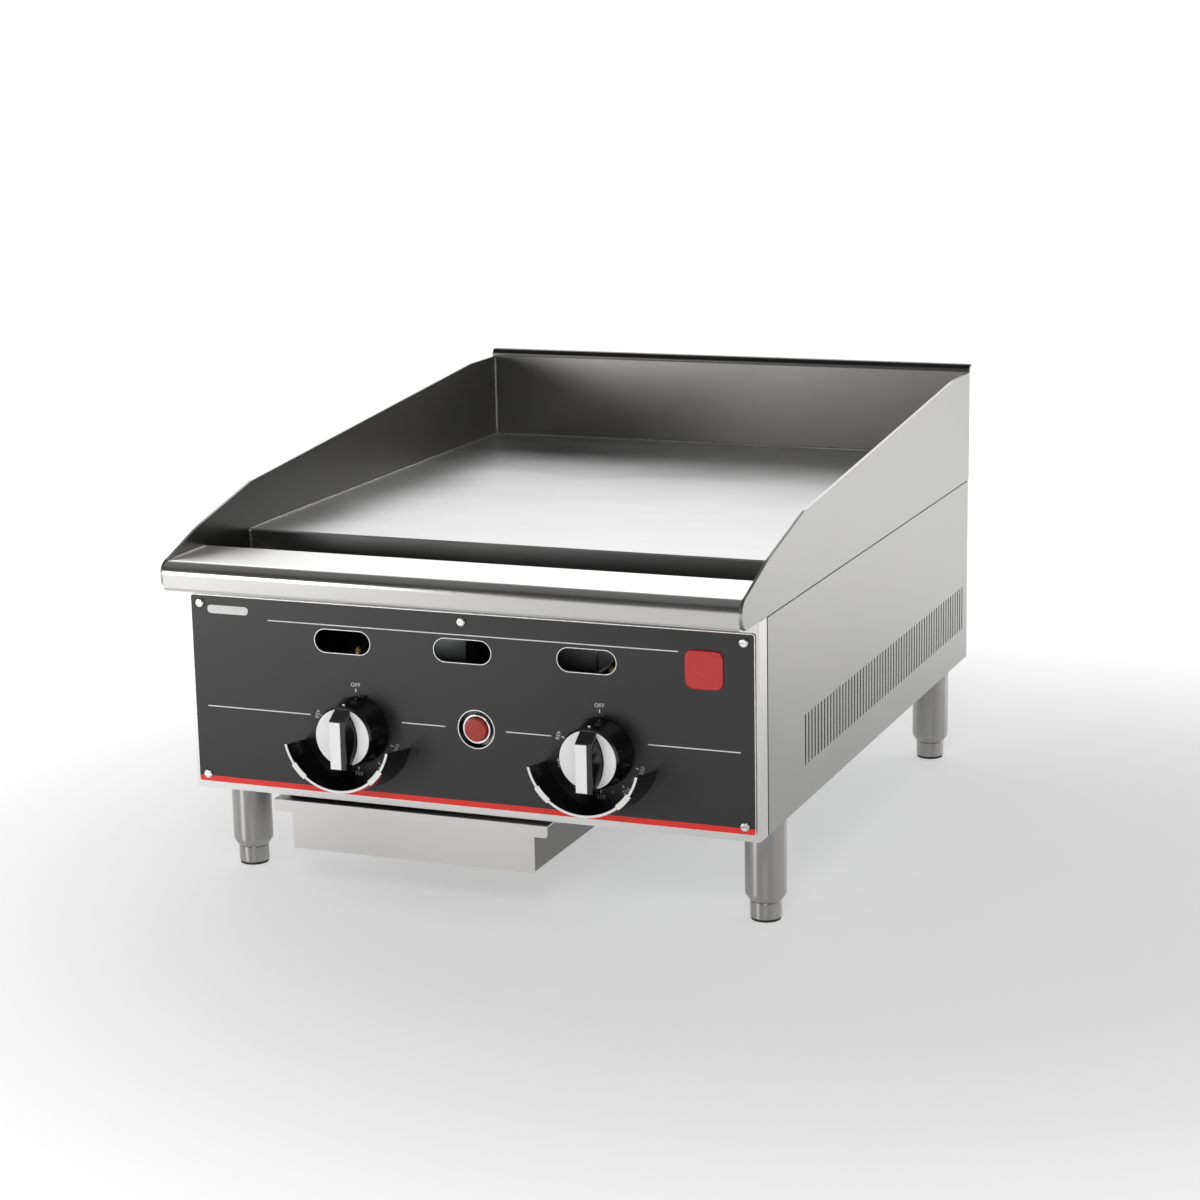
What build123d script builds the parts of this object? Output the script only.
from build123d import *
import os
from math import cos, radians, sin

os.makedirs("parts", exist_ok=True)

# Countertop gas griddle: 24 in wide, on 4 in legs. Millimetres, +Z up, front towards -Y.
# The origin is on the counter, under the middle of the overall footprint.

# ---- driving dimensions -------------------------------------------------------------
width = 609.6  # outside of the side splashes
overall_depth = 828.0  # rail nose to rolled lip of the back splash
nose_reach = 48.0  # rail nose in front of the fascia face
body_depth = 772.0  # fascia face to the outside of the rear panel
leg_height = 101.6  # counter to the underside of the body
top_z = 346.0  # cooking surface and top of the front rail
plate_thickness = 25.4
splash_thickness = 3.0
splash_bottom = 316.5
splash_top = 443.5
lip_top = 452.5
sheet = 1.2  # side panels
panel_sheet = 1.5  # other panels

front_y = -overall_depth / 2
fascia_y = front_y + nose_reach
rear_y = fascia_y + body_depth
lip_y = overall_depth / 2
plate_front = fascia_y + 130
plate_rear = rear_y - splash_thickness
splash_x = width / 2
plate_x = splash_x - splash_thickness
plate_bottom = top_z - plate_thickness
body_x = 304.0

# front panel and fascia
fascia_x, fascia_bottom, fascia_top = 300.5, 108.0, 304.5
fascia_sheet = 1.5
panel_top = 315.5
return_depth = 24.0
slot_pitch, slot_length, slot_height, slot_z = 130.5, 61.0, 23.5, 266.0
screw_x, screw_top, screw_bottom = 289.5, 295.5, 116.5

# controls
knob_z = 177.5
knob_xs = {"left": -117.5, "right": 143.0}
knob_base_r, knob_face_r, knob_reach, knob_gap = 34.5, 29.5, 32.0, 1.0
grip_reach, grip_left, grip_right = 45.0, 7.5, 9.5
inlay = 0.8
tab_x = 8.0  # index tab on the skirt, clockwise of the pointer
stem_r, stem_clearance = 4.0, 0.05
guard_base_r, guard_front_r, guard_reach, guard_wall = 60.0, 58.0, 48.0, 2.5
guard_rise = 5.5  # the guard leans: its rim is centred this far above its base
button_x, button_z, button_hole_r = 12.7, 188.5, 19.0
button_r, bezel_r, bezel_gap = 11.9, 15.0, 0.3

# gas train
valve_front, valve_back = fascia_y + 14, fascia_y + 64
thermostat_half = 28.0
manifold_side = 25.0
burner_x, burner_z, burner_r = 138.0, 250.0, 17.5
shield_y = fascia_y + 133
support_ys = {"front": fascia_y + 170, "rear": fascia_y + 700}
support_sheet = 2.0
inlet_x, inlet_r = 240.0, 13.35
pilot_xs = {"left": -106.0, "right": 106.0}
pilot_line_z, thermocouple_x, thermocouple_z = 228.0, -109.0, 240.0
capillary_xs = {"left": -98.0, "right": 120.0}
capillary_z = 270.0

# trough and drain
trough_sheet, trough_bottom = 2.5, 284.0
trough_front = fascia_y + 37
drawer_x = -62.0
drain_y = fascia_y + 107
drain_length, drain_width, chute_wall = 40.0, 24.0, 1.5
drain_plate_half = 50.0
chute_clearance = 14.0  # round the chute where it passes through the floor

# floor of the body, drawer and its rails
pan_bottom = leg_height + sheet
pan_top = pan_bottom + panel_sheet
drawer_half, drawer_length, drawer_floor, drawer_flange_z = 133.0, 560.0, 47.0, 94.3
drawer_travel = 500.0
lip_half, lip_low, lip_high = 150.0, 86.5, 98.5

# legs
leg_x, leg_r, leg_bottom = 284.0, 20.6, 20.1
leg_ys = {"front": fascia_y + 76, "rear": fascia_y + 683}
foot_r, foot_top, foot_pad, foot_stud_r = 15.6, 19.8, 2.5, 5.0

sides = {"left": -1, "right": 1}


def write(part, label):
    """Label one finished piece and write it as its own STEP file."""
    part.label = label
    export_step(part, f"parts/{label}.step")


def box(x0, x1, y0, y1, z0, z1, mode=Mode.ADD):
    """A box between two corners, inside the current part."""
    with Locations(((x0 + x1) / 2, (y0 + y1) / 2, (z0 + z1) / 2)):
        Box(x1 - x0, y1 - y0, z1 - z0, mode=mode)


def y_cylinder(x, z, radius, y0, y1, mode=Mode.ADD):
    """A cylinder along Y, inside the current part."""
    with BuildSketch(Plane(origin=(x, y0, z), x_dir=(1, 0, 0), z_dir=(0, 1, 0))) as disc:
        Circle(radius)
    extrude(disc.sketch, amount=y1 - y0, mode=mode)


def facing(x, y, z):
    """An upright plane facing the front: local x is +X and local y is +Z."""
    return Plane(origin=(x, y, z), x_dir=(1, 0, 0), z_dir=(0, -1, 0))


def upright(y):
    """The same plane with its origin on the Z axis."""
    return facing(0, y, 0)


def pipe(points, radius, bend):
    """A round tube along straight runs joined by bends."""
    with BuildPart() as run:
        with BuildLine() as path:
            FilletPolyline(*points, radius=bend)
        with BuildSketch(Plane(origin=path.line @ 0, z_dir=path.line % 0)):
            Circle(radius)
        sweep()
    return run.part


# ---- cooking top --------------------------------------------------------------------
def make_griddle_plate():
    """Ground steel plate; its two free top edges are eased."""
    with BuildPart() as plate:
        box(-plate_x, plate_x, plate_front, plate_rear, plate_bottom, top_z)
        front_edge = plate.edges().filter_by(Axis.X).group_by(Axis.Y)[0].sort_by(Axis.Z)[-1]
        chamfer(front_edge, length=1.5)
    write(plate.part, "griddle_plate")


def make_side_splash(side, sign):
    """Side guard: level at the back, a long shallow slope, then a steeper one to the nose."""
    with BuildPart() as splash:
        with BuildSketch(Plane.YZ.offset(sign * plate_x)):
            with BuildLine():
                nose = ThreePointArc(
                    (fascia_y - 38, splash_bottom),
                    (fascia_y - 46.5, splash_bottom + 9),
                    (front_y, splash_bottom + 18),
                )
                crown = ThreePointArc(
                    nose @ 1, (fascia_y - 45, splash_bottom + 25), (fascia_y - 34, splash_bottom + 31)
                )
                Polyline(
                    crown @ 1,
                    (fascia_y + 26, 368.7),
                    (fascia_y + 140, 395.5),
                    (fascia_y + 696, splash_top),
                    (rear_y, splash_top),
                    (rear_y, splash_bottom),
                    nose @ 0,
                )
            make_face()
        extrude(amount=sign * splash_thickness)
        slope_edge = splash.edges().filter_by(Axis.X).sort_by_distance((0, fascia_y + 26, 368.7))[:2]
        fillet(slope_edge, radius=150)
    write(splash.part, f"{side}_splash")


def make_back_splash():
    """Back guard with its rolled lip, which laps over the ends of the side guards."""
    inner, outer = plate_rear, rear_y
    with BuildPart() as splash:
        box(-plate_x, plate_x, inner, outer, plate_bottom + 1.4, splash_top)
        with BuildSketch(Plane.YZ.offset(-splash_x)):
            with BuildLine():
                Polyline((outer, splash_top), (inner, splash_top), (inner, splash_top + 2.5))
                outer_bend = RadiusArc((inner, splash_top + 2.5), (inner + 6.5, lip_top), 6.5)
                Polyline(
                    outer_bend @ 1,
                    (lip_y, lip_top),
                    (lip_y, lip_top - splash_thickness),
                    (inner + 6.5, lip_top - splash_thickness),
                )
                Line((inner + 6.5, lip_top - splash_thickness), (outer, splash_top + 2.5))
                Line((outer, splash_top + 2.5), (outer, splash_top))
            make_face()
        extrude(amount=width)
    write(splash.part, "back_splash")


def make_front_rail():
    """Bull-nosed rail, bent from one sheet."""
    gauge, nose_r = 2.5, 12.0
    with BuildPart() as rail:
        with BuildSketch(Plane.YZ.offset(-plate_x)):
            with BuildLine():
                FilletPolyline(
                    (fascia_y + 39.5, top_z),
                    (front_y, top_z),
                    (front_y, splash_bottom),
                    (fascia_y - 36, splash_bottom),
                    radius=(nose_r, 4),
                )
                Line((fascia_y - 36, splash_bottom), (fascia_y - 36, splash_bottom + gauge))
                FilletPolyline(
                    (fascia_y - 36, splash_bottom + gauge),
                    (front_y + gauge, splash_bottom + gauge),
                    (front_y + gauge, top_z - gauge),
                    (fascia_y + 39.5, top_z - gauge),
                    radius=(4 - gauge, nose_r - gauge),
                )
                Line((fascia_y + 39.5, top_z - gauge), (fascia_y + 39.5, top_z))
            make_face()
        extrude(amount=2 * plate_x)
    write(rail.part, "front_rail")


def make_grease_trough():
    """Channel between the rail and the plate, with a gap in its floor for the drain plate."""
    rail_sheet = 2.5
    with BuildPart() as trough:
        box(-plate_x, plate_x, trough_front, plate_front, trough_bottom, trough_bottom + trough_sheet)
        box(-plate_x, plate_x, trough_front, trough_front + trough_sheet,
            trough_bottom, top_z - rail_sheet)
        box(-plate_x, plate_x, plate_front - trough_sheet, plate_front,
            trough_bottom, plate_bottom + 1.4)
        box(drawer_x - drain_plate_half, drawer_x + drain_plate_half,
            trough_front + trough_sheet, plate_front - trough_sheet,
            trough_bottom, trough_bottom + trough_sheet, mode=Mode.SUBTRACT)
    write(trough.part, "grease_trough")


def make_drain_plate():
    """Floor piece of the trough, welded in over the chute, with the drain hole."""
    with BuildPart() as plate:
        box(drawer_x - drain_plate_half, drawer_x + drain_plate_half,
            trough_front + trough_sheet, plate_front - trough_sheet,
            trough_bottom, trough_bottom + trough_sheet)
        box(drawer_x - drain_length / 2, drawer_x + drain_length / 2,
            drain_y - drain_width / 2, drain_y + drain_width / 2,
            trough_bottom, trough_bottom + trough_sheet, mode=Mode.SUBTRACT)
    write(plate.part, "drain_plate")


def make_drain_chute():
    """Rectangular duct from the trough's drain down into the drawer."""
    half_x, half_y = drain_length / 2 + 3, drain_width / 2 + 3
    low = leg_height - 4.0
    with BuildPart() as chute:
        with BuildSketch(Plane.XY.offset(low)):
            with Locations((drawer_x, drain_y)):
                Rectangle(2 * half_x, 2 * half_y)
                Rectangle(2 * (half_x - chute_wall), 2 * (half_y - chute_wall), mode=Mode.SUBTRACT)
        extrude(amount=trough_bottom - low)
    write(chute.part, "drain_chute")


# ---- body shell ---------------------------------------------------------------------
def make_side_panel(side, sign):
    """Side sheet with a hem at the top, a flange at the floor and a row of upright vent slots."""
    panel_front, panel_high = fascia_y + 27, panel_top - 1
    vent_count, vent_first, vent_last = 59, fascia_y + 141.8, fascia_y + 748.8
    vent_width, vent_height, vent_z = 3.6, 52.0, 165.5
    hem, floor_flange = 2.0, 12.0
    low_x, high_x = sorted((sign * body_x, sign * (body_x - sheet)))
    with BuildPart() as panel:
        box(low_x, high_x, panel_front, rear_y, leg_height, panel_high)
        for z, reach in ((leg_height, floor_flange), (panel_high - sheet, hem)):
            x0, x1 = sorted((sign * body_x, sign * (body_x - reach)))
            box(x0, x1, panel_front, rear_y, z, z + sheet)
        with BuildSketch(Plane.YZ.offset(low_x)):
            with Locations(((vent_first + vent_last) / 2, vent_z)):
                with GridLocations((vent_last - vent_first) / (vent_count - 1), 1, vent_count, 1):
                    SlotOverall(vent_height, vent_width, rotation=90)
        extrude(amount=sheet, mode=Mode.SUBTRACT)
    write(panel.part, f"{side}_side_panel")


def make_rear_panel():
    """Back sheet: a top flange under the plate, flue slots, and the gas inlet hole."""
    half, flue_z, flue_length, flue_height, flue_count = 301.4, 280.0, 44.0, 14.0, 9
    with BuildPart() as panel:
        box(-half, half, rear_y - panel_sheet, rear_y, pan_bottom, plate_bottom)
        box(-half, half, rear_y - 17, rear_y, plate_bottom - panel_sheet, plate_bottom)
        with BuildSketch(upright(rear_y)):
            with Locations((0, flue_z)):
                with GridLocations(60, 1, flue_count, 1):
                    SlotOverall(flue_length, flue_height)
            with Locations((inlet_x, knob_z)):
                Circle(19)
        extrude(amount=panel_sheet, mode=Mode.SUBTRACT)
    write(panel.part, "rear_panel")


def control_cutouts():
    """Holes that the fascia and the front panel share, in the current upright sketch."""
    with GridLocations(slot_pitch, 1, 3, 1):
        with Locations((0, slot_z)):
            SlotOverall(slot_length, slot_height)
    with Locations((button_x, button_z)):
        Circle(button_hole_r)
    with Locations(*[(x, knob_z) for x in knob_xs.values()]):
        Circle(stem_r + 3)


def make_front_panel():
    """Stainless front sheet with side and bottom returns."""
    face = fascia_y + fascia_sheet
    with BuildPart() as panel:
        box(-body_x, body_x, face, face + sheet, leg_height, panel_top)
        for sign in sides.values():
            outer, inner = sign * body_x, sign * (body_x - sheet)
            box(min(outer, inner), max(outer, inner), face, fascia_y + return_depth,
                leg_height, panel_top)
        box(-body_x, body_x, face, fascia_y + return_depth, leg_height, leg_height + sheet)
        fillet(panel.edges().filter_by(Axis.Z).group_by(Axis.Y)[0], radius=1.0)
        with BuildSketch(upright(face)):
            control_cutouts()
        extrude(amount=-sheet, mode=Mode.SUBTRACT)
    write(panel.part, "front_panel")


def make_fascia():
    """Black overlay plate with rounded corners, over the front panel."""
    with BuildPart() as fascia:
        with BuildSketch(upright(fascia_y)):
            with Locations((0, (fascia_bottom + fascia_top) / 2)):
                RectangleRounded(2 * fascia_x, fascia_top - fascia_bottom, 3)
        extrude(amount=-fascia_sheet)
        with BuildSketch(upright(fascia_y)):
            control_cutouts()
        extrude(amount=-fascia_sheet, mode=Mode.SUBTRACT)
    write(fascia.part, "fascia")


def make_fascia_screws():
    """Five domed heads with a driver slot, seated on the fascia."""
    head_r, head_height = 4.6, 2.4
    places = [(-screw_x, screw_top), (0, screw_top), (screw_x, screw_top),
              (-screw_x, screw_bottom), (screw_x, screw_bottom)]
    with BuildPart() as screws:
        for x, z in places:
            y_cylinder(x, z, head_r, fascia_y - head_height, fascia_y)
        rims = screws.edges().filter_by(GeomType.CIRCLE).group_by(Axis.Y)[0]
        fillet(rims, radius=1.6)
        for x, z in places:
            box(x - head_r, x + head_r, fascia_y - head_height, fascia_y - head_height + 1.0,
                z - 0.5, z + 0.5, mode=Mode.SUBTRACT)
    write(screws.part, "fascia_screws")


def make_bottom_pan():
    """Floor sheet of the body: chute hole and four leg-stud holes."""
    with BuildPart() as pan:
        box(-302.6, 302.6, fascia_y + 3, rear_y - 1.7, pan_bottom, pan_top)
        box(drawer_x - drain_length / 2 - chute_clearance, drawer_x + drain_length / 2 + chute_clearance,
            drain_y - drain_width / 2 - chute_clearance, drain_y + drain_width / 2 + chute_clearance,
            pan_bottom, pan_top, mode=Mode.SUBTRACT)
        with Locations(*[(sign * leg_x, y, pan_bottom) for sign in sides.values()
                         for y in leg_ys.values()]):
            Cylinder(6.4, 3 * panel_sheet, mode=Mode.SUBTRACT)
    write(pan.part, "bottom_pan")


def make_heat_shield():
    """Wall between the burners and the controls, with a hole for each tube that crosses it."""
    with BuildPart() as shield:
        box(-300, 300, shield_y, shield_y + panel_sheet, pan_top, plate_bottom)
        for sign in sides.values():
            y_cylinder(sign * burner_x, burner_z, burner_r + 1.5, shield_y,
                       shield_y + panel_sheet, Mode.SUBTRACT)
        tube_holes = [(x, pilot_line_z, 4) for x in pilot_xs.values()]
        tube_holes += [(x, capillary_z, 3) for x in capillary_xs.values()]
        tube_holes += [(thermocouple_x, thermocouple_z, 3), (inlet_x, knob_z, inlet_r + 1.2)]
        for x, z, radius in tube_holes:
            y_cylinder(x, z, radius, shield_y, shield_y + panel_sheet, Mode.SUBTRACT)
    write(shield.part, "heat_shield")


def make_burner_support(place, y):
    """Cross sheet whose half-round notches carry the burners."""
    with BuildPart() as support:
        box(-300, 300, y, y + support_sheet, pan_top, burner_z)
        for sign in sides.values():
            y_cylinder(sign * burner_x, burner_z, burner_r + 0.3, y, y + support_sheet, Mode.SUBTRACT)
        tube_holes = [(inlet_x, knob_z, inlet_r + 1.2)]
        if place == "front":
            tube_holes += [(x, pilot_line_z, 4) for x in pilot_xs.values()]
            tube_holes += [(thermocouple_x, thermocouple_z, 3)]
        for x, z, radius in tube_holes:
            y_cylinder(x, z, radius, y, y + support_sheet, Mode.SUBTRACT)
    write(support.part, f"burner_support_{place}")


# ---- controls -----------------------------------------------------------------------
def make_knob(side, x):
    """Skirted knob with a wide grip bar, bored for the thermostat stem."""
    with BuildPart() as knob:
        with BuildSketch(Plane(origin=(x, fascia_y, knob_z))):
            with BuildLine():
                Polyline(
                    (0, -knob_gap),
                    (knob_base_r, -knob_gap),
                    (knob_base_r, -5),
                    (knob_face_r + 1.5, -knob_reach + 2),
                    (knob_face_r, -knob_reach),
                    (0, -knob_reach),
                    close=True,
                )
            make_face()
        revolve(axis=Axis((x, fascia_y, knob_z), (0, 1, 0)))
        grip_start = Plane(origin=(x - grip_left, fascia_y, knob_z), x_dir=(0, 1, 0), z_dir=(1, 0, 0))
        with BuildSketch(grip_start):
            with BuildLine():
                Polyline(
                    (-knob_reach + 1, knob_face_r - 1),
                    (-grip_reach, knob_face_r - 10),
                    (-grip_reach, -knob_face_r),
                    (-knob_reach + 1, -knob_face_r),
                    close=True,
                )
            make_face()
        extrude(amount=grip_left + grip_right)
        for depth, bulge, high, low in ((knob_reach - 1, 7.5, 24, 26), (grip_reach - 1.5, 1.0, 17, 25)):
            with BuildSketch(facing(x + grip_right - 0.5, fascia_y - depth, knob_z)):
                with BuildLine():
                    flank = ThreePointArc((0, high), (bulge, (high - low) / 2), (0, -low))
                    Line(flank @ 1, flank @ 0)
                make_face()
        loft()
        box(x - 3 + tab_x, x + 3 + tab_x, fascia_y - 4, fascia_y - knob_gap,
            knob_z + knob_base_r - 3, knob_z + knob_base_r + 1.5)
        y_cylinder(x, knob_z, stem_r, fascia_y - 25, fascia_y, Mode.SUBTRACT)
    write(knob.part, f"{side}_knob")


def make_knob_face(side, x):
    """Bright inlays: one each side of the grip bar, and one along the bar's front."""
    front, low = fascia_y - knob_reach - inlay, knob_z - knob_face_r
    with BuildPart() as face:
        y_cylinder(x, knob_z, knob_face_r - 0.5, front, fascia_y - knob_reach)
        box(x - grip_left - 0.1, x + grip_right + 0.1, front, fascia_y - knob_reach,
            low, knob_z + knob_face_r, mode=Mode.SUBTRACT)
        with BuildSketch(facing(x + grip_right - 0.5, front, knob_z)):
            with BuildLine():
                flank = ThreePointArc((0, 24.2), (7.7, -1), (0, -26.2))
                Line(flank @ 1, flank @ 0)
            make_face()
        extrude(amount=-inlay, mode=Mode.SUBTRACT)
        box(x - grip_left + 0.3, x + 4.2, fascia_y - grip_reach - inlay, fascia_y - grip_reach,
            low + 0.5, knob_z + knob_face_r - 11)
    write(face.part, f"{side}_knob_face")


def make_stem(side, x):
    """Thermostat stem that the knob is pressed on."""
    with BuildPart() as stem:
        y_cylinder(x, knob_z, stem_r, fascia_y - 24.8, valve_front + 20)
        chamfer(stem.edges().filter_by(GeomType.CIRCLE).group_by(Axis.Y)[-1], length=0.6)
    write(stem.part, f"{side}_thermostat_stem")


def make_guard(side, x):
    """Shield round the lower half of a knob, with a thick pad near each end of its rim."""
    pad_starts, pad_sweep, pad_proud, pad_inset, pad_depth = (34, 128), 18, 1.6, 4.0, 7.0
    base, rim = facing(x, fascia_y, knob_z), facing(x, fascia_y - guard_reach, knob_z + guard_rise)
    with BuildPart() as guard:
        for plane, radius in ((base, guard_base_r), (rim, guard_front_r)):
            with BuildSketch(plane):
                with BuildLine():
                    outer = CenterArc((0, 0), radius, 180, 180)
                    inner = CenterArc((0, 0), radius - guard_wall, 180, 180)
                    Line(outer @ 0, inner @ 0)
                    Line(outer @ 1, inner @ 1)
                make_face()
        loft()
        with BuildSketch(rim):
            for start in pad_starts:
                with BuildLine():
                    outer = CenterArc((0, 0), guard_front_r + pad_proud, -start - pad_sweep, pad_sweep)
                    inner = CenterArc((0, 0), guard_front_r - pad_inset, -start - pad_sweep, pad_sweep)
                    Line(outer @ 0, inner @ 0)
                    Line(outer @ 1, inner @ 1)
                make_face()
        extrude(amount=-pad_depth)
        split(bisect_by=Plane(origin=(x, fascia_y, knob_z - 14), x_dir=(1, 0, 0), z_dir=(0, 0.14, 1)),
              keep=Keep.BOTTOM)
    write(guard.part, f"{side}_knob_guard")


def make_thermostat(side, x):
    """Thermostat valve body, bored for its stem, against the manifold."""
    with BuildPart() as body:
        box(x - thermostat_half, x + thermostat_half, valve_front, valve_back,
            knob_z - thermostat_half, knob_z + thermostat_half)
        fillet(body.edges().filter_by(Axis.Y), radius=6)
        y_cylinder(x, knob_z, stem_r + stem_clearance, valve_front, valve_front + 20.2, Mode.SUBTRACT)
    write(body.part, f"{side}_thermostat")


def make_safety_valve():
    """Flame-safety valve, bored for the reset button's stem."""
    half = 22.0
    with BuildPart() as valve:
        box(button_x - half, button_x + half, valve_front, valve_back, button_z - half, button_z + half)
        fillet(valve.edges().filter_by(Axis.Y), radius=5)
        y_cylinder(button_x, button_z, 3.3, valve_front, valve_front + 18, Mode.SUBTRACT)
    write(valve.part, "safety_valve")


def make_reset_bezel():
    """Bright ring round the button, standing on the valve."""
    with BuildPart() as bezel:
        y_cylinder(button_x, button_z, bezel_r, fascia_y + 0.5, valve_front)
        y_cylinder(button_x, button_z, button_r + bezel_gap, fascia_y + 0.5, valve_front, Mode.SUBTRACT)
        fillet(bezel.edges().filter_by(GeomType.CIRCLE).group_by(Axis.Y)[0], radius=1.0)
    write(bezel.part, "reset_bezel")


def make_reset_button():
    """Red cap on its stem."""
    with BuildPart() as button:
        y_cylinder(button_x, button_z, button_r, fascia_y - 3, fascia_y + 5)
        fillet(button.edges().filter_by(GeomType.CIRCLE).group_by(Axis.Y)[0], radius=1.8)
        y_cylinder(button_x, button_z, 3.0, fascia_y + 5, valve_front + 12)
    write(button.part, "reset_button")


def make_reset_spring():
    """Return spring between the cap and the valve."""
    wire_r, coil_r, turns = 0.5, 6.0, 4
    low, high = fascia_y + 5 + wire_r + 0.1, valve_front - wire_r - 0.1
    with BuildPart() as spring:
        with BuildLine() as coil:
            Helix(pitch=(high - low) / turns, height=high - low, radius=coil_r,
                  center=(button_x, low, button_z), direction=(0, 1, 0))
        with BuildSketch(Plane(origin=coil.line @ 0, z_dir=coil.line % 0)):
            Circle(wire_r)
        sweep(is_frenet=True)
    write(spring.part, "reset_spring")


# ---- gas train ----------------------------------------------------------------------
def make_manifold():
    """Square supply tube behind the valves, ported to each of them and to the inlet."""
    left, right, gauge = -170.0, 262.0, 2.5
    low, high = knob_z - manifold_side / 2, knob_z + manifold_side / 2
    back = valve_back + manifold_side
    with BuildPart() as manifold:
        box(left, right, valve_back, back, low, high)
        box(left + gauge, right - gauge, valve_back + gauge, back - gauge,
            low + gauge, high - gauge, mode=Mode.SUBTRACT)
        for x in [*knob_xs.values(), button_x]:
            y_cylinder(x, knob_z, 5, valve_back, valve_back + gauge, Mode.SUBTRACT)
        y_cylinder(inlet_x, knob_z, 9, back - gauge, back, Mode.SUBTRACT)
    write(manifold.part, "gas_manifold")


def make_inlet_pipe():
    """Supply pipe to the rear, ending in a coupling with a plain bore at thread-minor size."""
    start, mouth = valve_back + manifold_side, rear_y + 5
    coupling_r, coupling_length, thread_r, thread_length = 17.5, 34.0, 12.1, 20.0
    with BuildPart() as inlet:
        y_cylinder(inlet_x, knob_z, inlet_r, start, mouth - coupling_length)
        y_cylinder(inlet_x, knob_z, coupling_r, mouth - coupling_length, mouth)
        y_cylinder(inlet_x, knob_z, 10.5, start, mouth - thread_length, Mode.SUBTRACT)
        y_cylinder(inlet_x, knob_z, thread_r, mouth - thread_length, mouth, Mode.SUBTRACT)
    write(inlet.part, "inlet_pipe")


def make_burner(side, sign):
    """Straight tube burner: open flared mouth at the front, closed end, two rows of ports."""
    mouth, end, gauge = fascia_y + 100, fascia_y + 735, 1.5
    x = sign * burner_x
    with BuildPart() as burner:
        y_cylinder(x, burner_z, burner_r, mouth, end)
        y_cylinder(x, burner_z, burner_r + 2.5, mouth, mouth + 12)
        y_cylinder(x, burner_z, burner_r - gauge, mouth, end - gauge, Mode.SUBTRACT)
        for angle in (40, 140):
            port = Plane(origin=(x, fascia_y + 450, burner_z), x_dir=(0, 1, 0),
                         z_dir=(cos(radians(angle)), 0, sin(radians(angle))))
            with BuildSketch(port):
                with GridLocations(12, 1, 40, 1):
                    Circle(1.5)
            extrude(amount=burner_r + 1, mode=Mode.SUBTRACT)
    write(burner.part, f"{side}_burner")


def make_feed(side, sign):
    """Tube from the thermostat to its orifice hood, in front of the burner's mouth."""
    x, hood_y = sign * burner_x, fascia_y + 84
    start = (x, fascia_y + 45, knob_z + thermostat_half)
    tube = pipe([start, (x, fascia_y + 45, burner_z), (x, hood_y, burner_z)], 4.0, 14)
    hood_face = Plane(origin=(x, hood_y, burner_z), x_dir=(1, 0, 0), z_dir=(0, 1, 0))
    with BuildPart() as feed:
        add(tube)
        with BuildSketch(hood_face):
            RegularPolygon(8, 6)
        extrude(amount=12)
        y_cylinder(x, burner_z, 1.2, hood_y + 2, hood_y + 12, Mode.SUBTRACT)
    write(feed.part, f"{side}_orifice_hood")


def make_pilot(side, x):
    """Pilot burner block on the front burner support."""
    y = support_ys["front"] + support_sheet
    with BuildPart() as pilot:
        box(x - 6, x + 6, y, y + 14, pilot_line_z - 5, pilot_line_z + 34)
        box(x - 3, x + 3, y + 4, y + 14, pilot_line_z + 24, pilot_line_z + 34, mode=Mode.SUBTRACT)
    write(pilot.part, f"{side}_pilot_burner")


def make_pilot_tubing():
    """Two thin tubes from the safety valve to the pilots."""
    valve_top, y, end = button_z + 22, fascia_y + 40, support_ys["front"] + support_sheet
    with BuildPart() as tubing:
        for side, sign in sides.items():
            x = button_x + sign * 8
            add(pipe([(x, y, valve_top), (x, y, pilot_line_z), (pilot_xs[side], y, pilot_line_z),
                      (pilot_xs[side], end, pilot_line_z)], 3.0, 8))
    write(tubing.part, "pilot_tubing")


def make_thermocouple():
    """Lead from the safety valve to the left pilot's flame."""
    valve_top, y, end = button_z + 22, fascia_y + 30, support_ys["front"] + support_sheet
    lead = pipe([(button_x, y, valve_top), (button_x, y, thermocouple_z),
                 (thermocouple_x, y, thermocouple_z), (thermocouple_x, end, thermocouple_z)], 1.5, 8)
    write(lead, "thermocouple")


def make_bulb(side, x):
    """Sensing bulb under the plate, with its capillary down to the thermostat."""
    bulb_r, bulb_front, bulb_back, front = 4.8, fascia_y + 300, fascia_y + 450, fascia_y + 145
    z = plate_bottom - bulb_r - 0.2
    capillary = pipe([(x, bulb_front, z), (x, front, z), (x, front, capillary_z),
                      (x, fascia_y + 52, capillary_z),
                      (x, fascia_y + 52, knob_z + thermostat_half)], 1.5, 10)
    with BuildPart() as bulb:
        add(capillary)
        y_cylinder(x, z, bulb_r, bulb_front, bulb_back)
        fillet(bulb.edges().filter_by(GeomType.CIRCLE).group_by(Axis.Y)[-1], radius=4)
    write(bulb.part, f"{side}_thermostat_bulb")


# ---- drawer -------------------------------------------------------------------------
def make_drawer_rail(side, sign):
    """Z-section that hangs from the floor and carries one flange of the drawer."""
    gauge = 1.5
    web, ledge, start, end = 148.0, 136.0, fascia_y + return_depth + 1, fascia_y + 600
    ledge_top = drawer_flange_z - 0.3

    def run(a, b, z0, z1):
        x0, x1 = sorted((drawer_x + sign * a, drawer_x + sign * b))
        box(x0, x1, start, end, z0, z1)

    with BuildPart() as rail:
        run(web, web + 14, pan_bottom - gauge, pan_bottom)
        run(web, web + gauge, ledge_top - gauge, pan_bottom)
        run(ledge, web + gauge, ledge_top - gauge, ledge_top)
    write(rail.part, f"{side}_drawer_rail")


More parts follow.
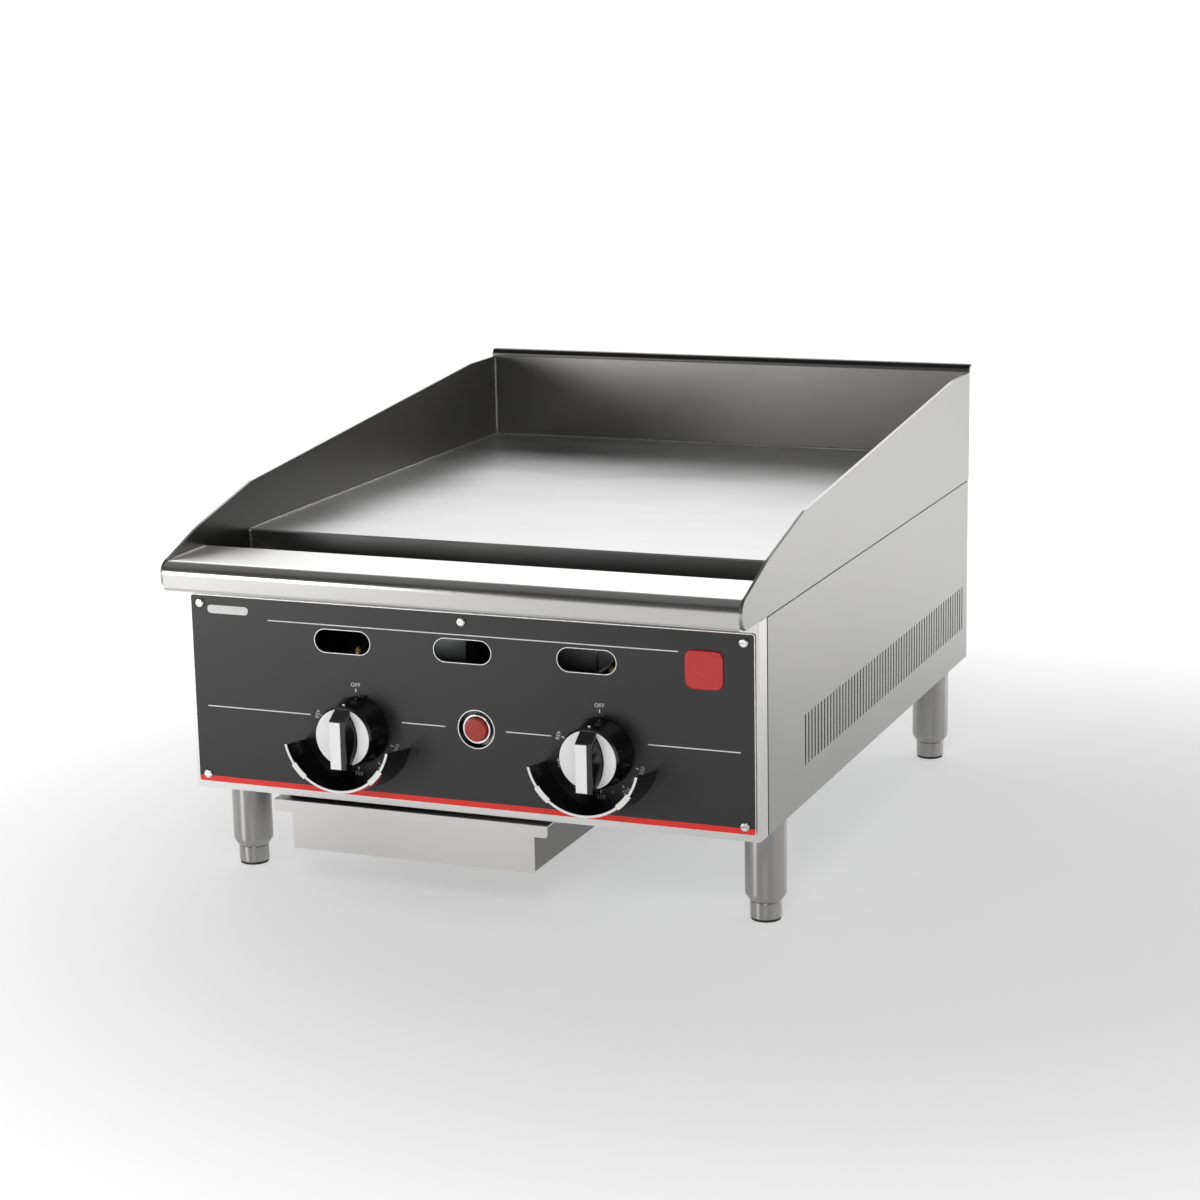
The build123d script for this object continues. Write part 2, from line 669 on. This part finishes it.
def make_drawer_tray():
    """Open tray with a hanging flange along each side."""
    gauge, start = 1.5, fascia_y + 1.5
    end, high = start + drawer_length, drawer_flange_z + 1.5
    with BuildPart() as tray:
        box(drawer_x - drawer_half, drawer_x + drawer_half, start, end, drawer_floor, high)
        fillet(tray.edges().filter_by(Axis.Y).group_by(Axis.Z)[0], radius=3)
        box(drawer_x - drawer_half + gauge, drawer_x + drawer_half - gauge,
            start + gauge, end - gauge, drawer_floor + gauge, high, mode=Mode.SUBTRACT)
        for sign in sides.values():
            x0, x1 = sorted((drawer_x + sign * drawer_half, drawer_x + sign * (drawer_half + 13)))
            box(x0, x1, start + 6, end, drawer_flange_z, high)
    write(tray.part, "grease_drawer_tray")


def make_drawer_front():
    """Front skin of the drawer, joggled forward into a wide lip that hides the rails."""
    gauge, skin = 1.5, fascia_y
    lip_front = fascia_y - 6.5
    with BuildPart() as front:
        box(drawer_x - drawer_half, drawer_x + drawer_half, skin, skin + gauge, drawer_floor, lip_low + gauge)
        box(drawer_x - drawer_half, drawer_x + drawer_half, lip_front, skin + gauge, lip_low, lip_low + gauge)
        with BuildSketch(upright(lip_front)):
            with Locations((drawer_x, (lip_low + lip_high) / 2)):
                Rectangle(2 * lip_half, lip_high - lip_low)
        extrude(amount=-gauge)
        box(drawer_x - lip_half, drawer_x + lip_half, lip_front, fascia_y + 18, lip_high - gauge, lip_high)
        lip_corners = front.edges().filter_by(Axis.Y).group_by(Axis.X)
        for corner in (lip_corners[0].sort_by(Axis.Z)[0], lip_corners[-1].sort_by(Axis.Z)[0]):
            fillet(corner, radius=3)
    write(front.part, "grease_drawer_front")


# ---- legs ---------------------------------------------------------------------------
def make_leg(name, x, y):
    """Hollow leg: rounded shoulder, bored bottom insert, and a stud through the floor."""
    insert_top, plug_low, wall_gauge = 36.0, 90.0, 1.8
    stud_r, boss_r, stud_top = 6.0, 7.5, leg_height + 14
    bore_r = foot_stud_r + 0.3
    with BuildPart() as leg:
        with BuildSketch(Plane(origin=(x, y, 0), x_dir=(1, 0, 0), z_dir=(0, -1, 0))):
            with BuildLine():
                Polyline(
                    (bore_r, leg_bottom),
                    (foot_r + 0.3, leg_bottom),
                    (leg_r, leg_bottom + 7),
                    (leg_r, leg_height),
                    (boss_r, leg_height),
                    (boss_r, pan_bottom),
                    (stud_r, pan_bottom),
                    (stud_r, stud_top),
                    (0, stud_top),
                    (0, plug_low),
                    (leg_r - wall_gauge, plug_low),
                    (leg_r - wall_gauge, insert_top),
                    (bore_r, insert_top),
                    close=True,
                )
            make_face()
        revolve(axis=Axis((x, y, 0), (0, 0, 1)))
        shoulder = leg.edges().filter_by(GeomType.CIRCLE).filter_by(
            lambda edge: abs(edge.center().Z - leg_bottom - 7) < 0.1)
        fillet(shoulder, radius=5)
    write(leg.part, f"{name}_leg")


def make_foot(name, x, y):
    """Screw foot: a turned body on a stud that runs up into the leg."""
    with BuildPart() as foot:
        with Locations((x, y, (foot_pad + foot_top) / 2)):
            Cylinder(foot_r, foot_top - foot_pad)
        fillet(foot.edges().filter_by(GeomType.CIRCLE), radius=1.2)
        with Locations((x, y, (foot_top + 66) / 2)):
            Cylinder(foot_stud_r, 66 - foot_top)
    write(foot.part, f"{name}_foot")
    with BuildPart() as pad:
        with Locations((x, y, foot_pad / 2)):
            Cylinder(foot_r - 0.8, foot_pad)
        fillet(pad.edges().filter_by(GeomType.CIRCLE).group_by(Axis.Z)[0], radius=0.6)
    write(pad.part, f"{name}_foot_pad")


make_griddle_plate()
make_back_splash()
make_front_rail()
make_grease_trough()
make_drain_plate()
make_drain_chute()
make_rear_panel()
make_front_panel()
make_fascia()
make_fascia_screws()
make_bottom_pan()
make_heat_shield()
make_safety_valve()
make_reset_bezel()
make_reset_button()
make_reset_spring()
make_manifold()
make_inlet_pipe()
make_pilot_tubing()
make_thermocouple()
make_drawer_tray()
make_drawer_front()
for place, y in support_ys.items():
    make_burner_support(place, y)
for side, sign in sides.items():
    make_side_splash(side, sign)
    make_side_panel(side, sign)
    make_knob(side, knob_xs[side])
    make_knob_face(side, knob_xs[side])
    make_stem(side, knob_xs[side])
    make_guard(side, knob_xs[side])
    make_thermostat(side, knob_xs[side])
    make_burner(side, sign)
    make_feed(side, sign)
    make_pilot(side, pilot_xs[side])
    make_bulb(side, capillary_xs[side])
    make_drawer_rail(side, sign)
    for place, y in leg_ys.items():
        make_leg(f"{place}_{side}", sign * leg_x, y)
        make_foot(f"{place}_{side}", sign * leg_x, y)
